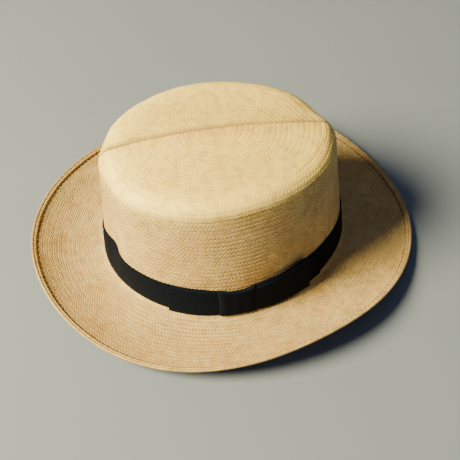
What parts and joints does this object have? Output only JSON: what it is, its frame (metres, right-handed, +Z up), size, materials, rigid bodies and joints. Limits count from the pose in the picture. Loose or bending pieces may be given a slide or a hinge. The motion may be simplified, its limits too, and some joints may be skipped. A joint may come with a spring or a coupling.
{
  "type": "panama hat",
  "caption": "Woven straw hat with an oval crown ridged front to back, a wide turned-edge brim, a dark ribbon band with a flat side bow, and a leather sweatband inside.",
  "frame": {"origin": "centre of the head opening, level with the lower edge of the hatband", "axes": "+Z up through the crown, the front of the hat faces -Y, the bow is on +X, the wearer's left"},
  "size_m": [0.2946, 0.3232, 0.1202],
  "materials": {
    "toquilla_straw": "matte",
    "straw_thread": "matte",
    "grosgrain": "satin",
    "black_thread": "matte",
    "sweatband_leather": "satin",
    "reed_covering": "satin",
    "pale_thread": "matte",
    "paper_tab": "matte"
  },
  "bodies": {
    "root": {"straw_crown": "toquilla_straw", "straw_brim": "toquilla_straw", "brim_hem": "toquilla_straw", "hem_stitching": "straw_thread", "hatband_ribbon": "grosgrain", "bow_front_loop": "grosgrain", "bow_rear_loop": "grosgrain", "bow_rear_tail": "grosgrain", "bow_knot": "grosgrain", "band_tack_front": "black_thread", "band_tack_back": "black_thread", "band_tack_right_front": "black_thread", "band_tack_right_back": "black_thread", "sweatband": "sweatband_leather", "sweatband_reed": "reed_covering", "sweatband_stitching": "pale_thread", "sweatband_bow": "sweatband_leather", "size_tab": "paper_tab"}
  },
  "joints": []
}
